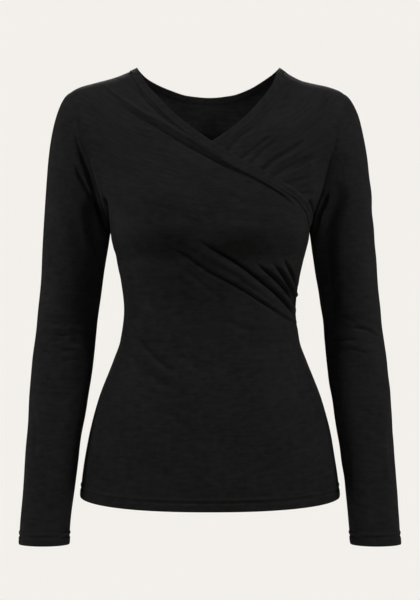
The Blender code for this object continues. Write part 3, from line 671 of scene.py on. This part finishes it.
def creases(table, x, z):
    """The height of a table's creases at places x, z, all in metres."""
    total = np.zeros_like(x)
    for height, width, *points in table:
        path = curve_through(points) / 1000
        width = width / 1000
        steps = np.diff(path, axis=0)
        lengths = np.linalg.norm(steps, axis=1)
        reach = 4 * width
        near = (x > path[:, 0].min() - reach) & (x < path[:, 0].max() + reach)
        near &= (z > path[:, 1].min() - reach) & (z < path[:, 1].max() + reach)
        px, pz = x[near], z[near]
        if px.size == 0:
            continue
        nearest, share, done = np.full_like(px, 1.0), np.zeros_like(px), 0.0
        for start, step, length in zip(path, steps, lengths):
            t = ((px - start[0]) * step[0] + (pz - start[1]) * step[1]) / length ** 2
            t = np.clip(t, 0, 1)
            far = np.hypot(px - start[0] - step[0] * t, pz - start[1] - step[1] * t)
            nearer = far < nearest
            nearest = np.where(nearer, far, nearest)
            share = np.where(nearer, (done + t * length) / lengths.sum(), share)
            done += length
        ends = np.clip(1.7 * np.sin(math.pi * np.clip(share, 0, 1)), 0, 1) ** 0.8
        beside = nearest / (width * (0.55 + 0.45 * ends))
        total[near] += height / 1000 * ends * (1 - 0.35 * beside ** 2) * np.exp(-beside ** 2)
    return total


def unevenness(x, y, z, seed, height):
    """Slight, slow unevenness of hanging cloth, the same on every run."""
    random = np.random.default_rng(seed)
    total = np.zeros_like(x)
    for _ in range(14):
        way = random.normal(size=3)
        way = way / np.linalg.norm(way) * random.uniform(60, 190)
        total += np.sin(x * way[0] + y * way[1] + z * way[2] + random.uniform(0, 6.28)) / 14 ** 0.5
    return total * height


def near_side(face, angle, drop, reach):
    """0 at a side seam or armhole, 1 away from it, sideways or below it."""
    _, _, _, widest = ring(face, drop)
    drops = np.linspace(0.5, 1, 400)
    _, _, _, cut = ring(face, drops)
    under = ease((drop - np.interp(np.abs(angle), cut, drops)) / (reach * DROP_RADIAN))
    beside = ease((widest - np.abs(angle)) / reach)
    return np.where((np.abs(angle) > cut[0]) & (drop > 0.5), np.minimum(beside, under), beside)


def seam_sink(distance):
    """How the cloth sinks beside a seam."""
    return -SEAM_SINK * np.exp(-(distance / SEAM_SOFT) ** 2)


def turned_edge(distance, along):
    """Relief of a turned and cover-stitched edge: its second layer, and the two sunk rows of stitches."""
    layer = HEM_FOLD * (1 - ease((distance - HEM_DEPTH - NEEDLES / 2) / HEM_STEP))
    pucker = 1 + PUCKER * np.sin(along * 2 * math.pi / PUCKERS[0]) * np.sin(along * 2 * math.pi / PUCKERS[1])
    groove = HEM_GROOVE * np.exp(-((distance - HEM_DEPTH + NEEDLES / 2) / GROOVE_WIDTH) ** 2) * pucker
    roll = EDGE_ROLL * np.exp(-(distance / ROLL_WIDTH) ** 2)
    return layer - groove - roll


def grid_of(cells):
    """Shares u, v across and up a grid, in rows."""
    v, u = np.meshgrid(np.linspace(0, 1, cells[1] + 1), np.linspace(0, 1, cells[0] + 1), indexing="ij")
    return u, v


def trunk_form(face, layout, cells, relief, seams):
    """A trunk panel's outer face as rows of points, with the directions that point outwards."""
    u, v = grid_of(cells)
    angle, drop = layout(u, v)
    by_angle, by_root = slopes(face, angle, np.sqrt(drop), mix(SMALL, SOFT_REACH, ease(drop / SOFT_DROP)))
    base = trunk(face, angle, drop)
    out = -face * outward(by_root, by_angle)
    across, up = lengths_along(base, 1), lengths_along(base)
    width, height = across[:, -1:], up[-1:, :]
    edges = {"low": up, "high": height - up, "first": across, "last": width - across}
    seam = np.minimum.reduce([edges[name] for name in seams]) if seams else np.full_like(drop, 1.0)
    at_arm = ease((drop - ARMHOLE_LOW[0]) / ARMHOLE_LOW[1]) * (1 - ease((drop - 1.0) / ARMHOLE_END))
    rise = relief(base, angle, drop, edges) + seam_sink(seam) * (1 - ARMHOLE_LESS * at_arm) + WALL
    middle = across[:, cells[0] // 2:cells[0] // 2 + 1]
    places = np.stack((across - middle, up), axis=-1)
    return {"points": base + out * rise[..., None], "out": out, "uv": places, "edges": edges}


def over_height(base, angle, drop):
    """How far the over front's folds and fullness stand out, neckband and all."""
    x, _, z = np.moveaxis(base, -1, 0)
    folds = creases(OVER_CREASES, x, z) * near_side(-1, angle, drop, CREASE_FLAT) * ease(drop / CREASE_FLAT)
    return folds + fullness(x, z) * near_side(-1, angle, drop, SIDE_FLAT) * ease(drop / SHOULDER_FLAT)


def over_relief(base, angle, drop, edges):
    """Height of the over front's cloth, with its hem."""
    x, y, z = np.moveaxis(base, -1, 0)
    slow = unevenness(x, y, z, 3, 0.00022) * ease(edges["first"] / EDGE_SOFT)
    return over_height(base, angle, drop) + slow + turned_edge(edges["low"], edges["first"])


def under_height(base, angle, drop):
    """How far the under front stands out: flush at armhole and shoulder, a layer down under the other."""
    x, _, z = np.moveaxis(base, -1, 0)
    beyond = (angle - np.interp(drop, OVER_PATHS[1], OVER_PATHS[0])) * FRONT_RADIAN
    hidden = ease(-beyond / LAYER_STEP)
    covered = ease(-beyond / LAYER_FLAT)
    sunk = 1 - ease((beyond - LAYER_FLAT) / LAYER_STEP)
    side = near_side(-1, angle, drop, SIDE_FLAT)
    show = mix(creases(UNDER_CREASES, x, z), creases(OVER_CREASES, x, z), covered)
    rise = show * near_side(-1, angle, drop, CREASE_FLAT) * ease(drop / CREASE_FLAT)
    rise += fullness(x, z) * side * ease(drop / SHOULDER_FLAT)
    sunk = np.maximum(sunk, ease((drop - SUNK_LOW) / (1 - SUNK_LOW)))
    return rise - LAYER * sunk - LAYER_HIDDEN * hidden * side


def under_relief(base, angle, drop, edges):
    """Height of the under front's cloth."""
    x, y, z = np.moveaxis(base, -1, 0)
    return under_height(base, angle, drop) + unevenness(x, y, z, 5, 0.0002) * ease(edges["last"] / BAND_SOFT)


def back_relief(base, angle, drop, edges):
    """Height of the back's creases, and its hem."""
    x, y, z = np.moveaxis(base, -1, 0)
    side = np.minimum(edges["first"], edges["last"])
    total = creases(BACK_CREASES, x, z) * ease(side / BACK_SOFT) * ease(edges["high"] / EDGE_SOFT)
    total += unevenness(x, y, z, 7, 0.0003) * ease(side / EDGE_SOFT) * ease(edges["high"] / EDGE_SOFT)
    return total + turned_edge(edges["low"], edges["first"])


def banded(height, seam=None):
    """A neckband's relief: its front's, and its own thickness, which fades where it comes flush."""
    def at(base, angle, drop, edges):
        rise = (BAND_WALL - WALL) * (1 - ease((drop - BAND_FLUSH) / (1 - BAND_FLUSH)))
        if seam:
            rise = rise * ease(edges[seam] / BAND_WIDTH)
        return height(base, angle, drop) + rise if height else rise
    return at


def sleeve_form(side, table, cells):
    """A sleeve's outer face as rows of points, from its armhole seam to its cuff."""
    u, v = grid_of(cells)
    turn = 2 * math.pi * (u if side < 0 else 1 - u)
    step = SMALL * (1 if side < 0 else -1) * 2 * math.pi
    base = sleeve(side, turn, v)
    round_it = sleeve(side, turn + step, v) - sleeve(side, turn - step, v)
    down_it = sleeve(side, turn, v + SMALL) - sleeve(side, turn, np.maximum(v - SMALL, 0))
    out = outward(round_it, down_it)
    around, down = lengths_along(base, 1), lengths_along(base)
    length = down[-1:, :]
    x, y, z = np.moveaxis(base, -1, 0)
    placed = [(height, width, *((math.radians(a) * SLEEVE_RADIUS * 1000, h) for a, h in points))
              for height, width, *points in table]
    rise = creases(placed, turn * SLEEVE_RADIUS, z) * ease(down / CAP_SOFT[0])
    rise += unevenness(x, y, z, 11 + side, 0.00035) * ease(down / CAP_SOFT[1])
    cuff = length - down
    at_arm = ease((np.cos(turn) - CAP_LOW[0]) / CAP_LOW[1])
    rise += turned_edge(cuff, around) + seam_sink(down) * (1 - ARMHOLE_LESS * at_arm) + WALL
    places = np.stack((around - around[:, -1:] / 2, cuff), axis=-1)
    edges = {"low": cuff, "high": down}
    return {"points": base + out * rise[..., None], "out": out, "uv": places, "edges": edges}


def link(name, data):
    """A new object in the scene."""
    piece = bpy.data.objects.new(name, data)
    bpy.context.scene.collection.objects.link(piece)
    return piece


def finished(name, shape, *materials):
    """A worked shape as an object with its materials."""
    mesh = bpy.data.meshes.new(name)
    shape.to_mesh(mesh)
    shape.free()
    for material in materials:
        mesh.materials.append(material)
    return link(name, mesh)


def cloth(name, form, thickness, right_side, wrong_side_painted_light):
    """A piece of cloth: a grid laid on a form, closed where its two sides meet, and given its thickness."""
    points = form["points"]
    rows, row = points.shape[:2]
    shape = bmesh.new()
    bmesh.ops.create_grid(shape, x_segments=row - 1, y_segments=rows - 1, size=1)
    layer = shape.loops.layers.uv.new("cloth")
    flat, places = points.reshape(-1, 3), form["uv"].reshape(-1, 2)
    for vertex, point in zip(shape.verts, flat):
        vertex.co = point
    shape.verts.index_update()
    for face in shape.faces:
        face.smooth = True
        for corner in face.loops:
            corner[layer].uv = places[corner.vert.index]
    bmesh.ops.remove_doubles(shape, verts=shape.verts, dist=1e-6)
    piece = finished(name, shape, right_side, wrong_side_painted_light)
    wall = piece.modifiers.new("Wall", "SOLIDIFY")
    wall.material_offset = 1
    wall.thickness = thickness
    wall.offset = -1
    return piece


def line_beside(form, edge, distance):
    """The points and outward directions of a line on a form, at one distance from one of its edges."""
    far = form["edges"][edge]
    points, out = form["points"], form["out"]
    if edge in ("first", "last"):
        far, points, out = far.T, points.transpose(1, 0, 2), out.transpose(1, 0, 2)
    if far[0].mean() > far[-1].mean():
        far, points, out = far[::-1], points[::-1], out[::-1]
    places, ways = [], []
    for k in range(far.shape[1]):
        spot = np.interp(distance, far[:, k], np.arange(len(far)))
        low = min(int(spot), len(far) - 2)
        share = spot - low
        places.append(mix(points[low, k], points[low + 1, k], share))
        ways.append(mix(out[low, k], out[low + 1, k], share))
    return np.array(places), np.array(ways)


def places_at(at, along, rows):
    """Points or directions at given lengths along a line."""
    return np.stack([np.interp(at, along, column) for column in rows.T], axis=-1)


def stitches(name, lines, material):
    """Rows of stitches lying on the cloth along lines of points."""
    shape = bmesh.new()
    for places, ways in lines:
        along = lengths_along(places)
        at = np.arange(STITCH_STEP / 2, along[-1] - STITCH_STEP / 2, STITCH_STEP)
        spots = places_at(at, along, places)
        ahead = places_at(at + STITCH_AHEAD, along, places)
        for spot, front, up in zip(spots, ahead, places_at(at, along, ways)):
            forward = Vector(front - spot).normalized()
            side = Vector(up).cross(forward).normalized()
            over = forward.cross(side)
            turn = Matrix((side, over, forward)).transposed().to_4x4()
            size = Matrix.Diagonal((THREAD, THREAD * THREAD_HEIGHT, STITCH / 2, 1))
            place = Matrix.Translation(Vector(spot) + over * THREAD * THREAD_OUT)
            bmesh.ops.create_uvsphere(shape, u_segments=6, v_segments=4, radius=1, matrix=place @ turn @ size)
    for face in shape.faces:
        face.smooth = True
    return finished(name, shape, material)


# Materials
DARK_YARN = (0.0060, 0.0060, 0.0060)
LIGHT_YARN = (0.0138, 0.0138, 0.0137)


def fill(made, sockets):
    """Sets a node's sockets by name."""
    for name, value in sockets.items():
        made.inputs[name].default_value = value


def node(tree, kind, sockets=None, **settings):
    """A shader node with its sockets and settings."""
    made = tree.nodes.new(kind)
    for key, value in settings.items():
        setattr(made, key, value)
    fill(made, sockets or {})
    return made


def started(name, sockets):
    """A new material, its nodes and its shader."""
    material = bpy.data.materials.new(name)
    material.use_nodes = True
    shader = material.node_tree.nodes["Principled BSDF"]
    fill(shader, sockets)
    return material, material.node_tree, shader


def jersey(name, painted_light_gain=1.0):
    """Thin black slub jersey: knit columns, short thick and thin places along its courses, and a soft nap."""
    material, tree, shader = started(name, {
        "Roughness": 0.88,
        "Specular IOR Level": 0.05,
        "Sheen Weight": 0.012,
        "Sheen Roughness": 0.45,
        "Sheen Tint": (0.88, 0.88, 0.88, 1),
    })
    join = tree.links.new
    place = node(tree, "ShaderNodeUVMap", uv_map="cloth")

    def pattern(scale, detail, rough):
        """Cloudy noise, stretched along the cloth."""
        mapping = node(tree, "ShaderNodeMapping", {"Scale": scale})
        join(place.outputs["UV"], mapping.inputs["Vector"])
        noise = node(tree, "ShaderNodeTexNoise", {"Scale": 1.0, "Detail": detail, "Roughness": rough})
        join(mapping.outputs["Vector"], noise.inputs["Vector"])
        return noise.outputs["Fac"]

    def maths(kind, *values):
        """One step of arithmetic on numbers or other nodes' values."""
        sum_node = node(tree, "ShaderNodeMath", operation=kind)
        for socket, value in zip(sum_node.inputs, values):
            if isinstance(value, (int, float)):
                socket.default_value = value
            else:
                join(value, socket)
        return sum_node.outputs["Value"]

    slub = pattern((95, 150, 1), 3.0, 0.6)
    long_slub = pattern((40, 240, 1), 2.0, 0.5)
    cloud = pattern((14, 20, 1), 4.0, 0.6)
    grain = pattern((900, 1100, 1), 2.0, 0.6)
    streak = maths("ADD", maths("MULTIPLY", slub, 0.6), maths("MULTIPLY", long_slub, 0.4))
    ramp = node(tree, "ShaderNodeValToRGB")
    ramp.color_ramp.elements[0].position = 0.36
    # A factor above 1 lightens both yarn colours: painted light on that copy of the jersey.
    ramp.color_ramp.elements[0].color = (*(part * painted_light_gain for part in DARK_YARN), 1)
    ramp.color_ramp.elements[1].position = 0.66
    ramp.color_ramp.elements[1].color = (*(part * painted_light_gain for part in LIGHT_YARN), 1)
    tone = maths("ADD", maths("MULTIPLY", streak, 0.72), maths("MULTIPLY", cloud, 0.28))
    join(tone, ramp.inputs["Fac"])
    join(ramp.outputs["Color"], shader.inputs["Base Color"])
    # Knit loops, each of two slanting halves
    parts = node(tree, "ShaderNodeSeparateXYZ")
    join(place.outputs["UV"], parts.inputs["Vector"])
    column = maths("MULTIPLY", parts.outputs["X"], 1 / COLUMN_WIDTH)
    across = maths("ABSOLUTE", maths("SUBTRACT", maths("FRACT", column), 0.5))
    course = maths("MULTIPLY", parts.outputs["Y"], 1 / COURSE_HEIGHT)
    loop_place = maths("ADD", course, maths("MULTIPLY", across, LOOP_SLANT))
    loops = maths("MULTIPLY", maths("SINE", maths("MULTIPLY", loop_place, 2 * math.pi)), 0.5)
    ridge = maths("SINE", maths("MULTIPLY", across, 2 * math.pi))
    knit = maths("ADD", maths("MULTIPLY", loops, 0.5), ridge)
    surface = maths("ADD", maths("MULTIPLY", knit, 0.35), maths("ADD", maths("MULTIPLY", streak, 1.6), grain))
    bump = node(tree, "ShaderNodeBump", {"Strength": 0.55, "Distance": 0.00035})
    join(surface, bump.inputs["Height"])
    join(bump.outputs["Normal"], shader.inputs["Normal"])
    return material


def thread(name):
    """Black sewing thread, a little smoother than the jersey."""
    material, tree, shader = started(name, {"Roughness": 0.7, "Specular IOR Level": 0.15})
    join = tree.links.new
    place = node(tree, "ShaderNodeTexCoord")
    noise = node(tree, "ShaderNodeTexNoise", {"Scale": 900.0})
    join(place.outputs["Object"], noise.inputs["Vector"])
    ramp = node(tree, "ShaderNodeValToRGB")
    ramp.color_ramp.elements[0].color = (0.0075, 0.0074, 0.0078, 1)
    ramp.color_ramp.elements[1].color = (0.0135, 0.0133, 0.0137, 1)
    join(noise.outputs["Fac"], ramp.inputs["Fac"])
    join(ramp.outputs["Color"], shader.inputs["Base Color"])
    return material


# Pieces
panel_jersey = jersey("slub_jersey")
band_jersey = jersey("neckband_jersey")
# The wrong side is the same jersey painted 2.2 times lighter. This is painted light on every inside face,
# standing in for the light that reaches the inside back through the neck.
wrong_side_painted_light = jersey("slub_jersey_wrong_side", 2.2)
black_thread = thread("black_thread")

over_layout, under_layout = front_layout(LOW_ROWS, HEM, True), front_layout(UNDER_ROWS, UNDER_HEM, False)
over_band, under_band = band_layout(OVER_PATHS, OVER_SEAM), band_layout(UNDER_PATHS, UNDER_SEAM)
back_band = band_layout(BACK_PATHS)
panel, under_panel = (COLUMNS, ARM_ROWS + LOW_ROWS), (COLUMNS, ARM_ROWS + UNDER_ROWS)
band_rows, neck_columns = ARM_ROWS + END_ROWS, COLUMNS - 2 * SHOULDER_COLUMNS
all_seams = ("first", "last", "high")
forms = {
    "front_over": trunk_form(-1, over_layout, panel, over_relief, all_seams),
    "front_under": trunk_form(-1, under_layout, under_panel, under_relief, ("last", "high")),
    "back": trunk_form(1, back_layout, panel, back_relief, all_seams),
    "sleeve_right": sleeve_form(-1, RIGHT_CREASES, (SLEEVE_COLUMNS, SLEEVE_ROWS)),
    "sleeve_left": sleeve_form(1, LEFT_CREASES, (SLEEVE_COLUMNS, SLEEVE_ROWS)),
    "neckband_over": trunk_form(-1, over_band, (BAND_COLUMNS, band_rows), banded(over_height), ()),
    "neckband_under": trunk_form(-1, lambda u, v: under_band(v, u), (band_rows, BAND_COLUMNS),
                                 banded(under_height, "high"), ()),
    "neckband_back": trunk_form(1, lambda u, v: back_band(v, u), (neck_columns, BAND_COLUMNS),
                                banded(None), ()),
}
for name, form in forms.items():
    band = name.startswith("neckband")
    thickness, right_side = (BAND_JERSEY, band_jersey) if band else (JERSEY, panel_jersey)
    piece = cloth(name + "_cloth", form, thickness, right_side, wrong_side_painted_light)
    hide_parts(name)
    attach(piece, "root")

hem_rows = [HEM_DEPTH + s * NEEDLES / 2 for s in (-1, 1)]
sewing = {
    "front_over": ("hem_stitches_front", "low", hem_rows),
    "back": ("hem_stitches_back", "low", hem_rows),
    "sleeve_right": ("cuff_stitches_right", "low", hem_rows),
    "sleeve_left": ("cuff_stitches_left", "low", hem_rows),
    "neckband_over": ("neckband_stitches_over", "last", [BAND_STITCHED]),
    "neckband_under": ("neckband_stitches_under", "high", [BAND_STITCHED]),
    "neckband_back": ("neckband_stitches_back", "high", [BAND_STITCHED]),
}
for name, (title, edge, depths) in sewing.items():
    lines = [line_beside(forms[name], edge, distance) for distance in depths]
    piece = stitches(title, lines, black_thread)
    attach(piece, "root")


# Studio
MIDDLE = Vector((0, 0, -0.33))
SOFTBOX_FAR = 2.2
SOFTBOX_SIZE = 0.5
BACKDROP = (0.896, 0.871, 0.831)
FLOOR_HEIGHT = -1.0


def softbox(name, turn, rise, power):
    """A square soft light that faces the shirt's middle, turned from the front and raised by degrees."""
    light = bpy.data.lights.new(name, "AREA")
    light.shape = "SQUARE"
    light.size = SOFTBOX_SIZE
    light.energy = power
    lamp = link(name, light)
    turn, rise = math.radians(turn), math.radians(rise)
    way = Vector((math.sin(turn) * math.cos(rise), -math.cos(turn) * math.cos(rise), math.sin(rise)))
    lamp.location = MIDDLE + way * SOFTBOX_FAR
    lamp.rotation_euler = (-way).to_track_quat("-Z", "Y").to_euler()
    lamp.visible_camera = False


camera = link("camera", bpy.data.cameras.new("camera"))
camera.location = (0, -2.8, -0.323)
camera.rotation_euler = (math.pi / 2, 0, 0)
camera.data.sensor_width = 24
camera.data.lens = 80
bpy.context.scene.camera = camera

world = bpy.data.worlds.new("studio")
world.use_nodes = True
fill(world.node_tree.nodes["Background"], {"Color": (1, 0.99, 0.98, 1), "Strength": 0.010})
bpy.context.scene.world = world
bpy.context.scene.view_settings.view_transform = "Standard"

softbox("key_left", 62, 36, 37)
softbox("key_right", -66, 36, 34)
softbox("fill", 0, 45, 8)
softbox("side_left", 100, 5, 5)
softbox("side_right", -100, 5, 8)
softbox("back", 180, 40, 40)

# Floor, and a round studio wall that is only a backdrop
shape = bmesh.new()
bmesh.ops.create_circle(shape, cap_ends=True, segments=96, radius=1.35)
bmesh.ops.translate(shape, verts=shape.verts, vec=(0, 0, FLOOR_HEIGHT))
floor_paint, _, _ = started("floor_paint", {"Base Color": (0.80, 0.785, 0.76, 1), "Roughness": 0.9})
floor = finished("floor", shape, floor_paint)
shape = bmesh.new()
bmesh.ops.create_uvsphere(shape, u_segments=48, v_segments=24, radius=9)
backdrop_paint, _, _ = started("backdrop_paint", {
    "Base Color": (0, 0, 0, 1),
    "Roughness": 0.9,
    "Specular IOR Level": 0,
    "Emission Color": (*BACKDROP, 1),
    "Emission Strength": 1,
})
backdrop = finished("backdrop", shape, backdrop_paint)
for rays in ("diffuse", "glossy", "transmission", "shadow"):
    setattr(backdrop, "visible_" + rays, False)
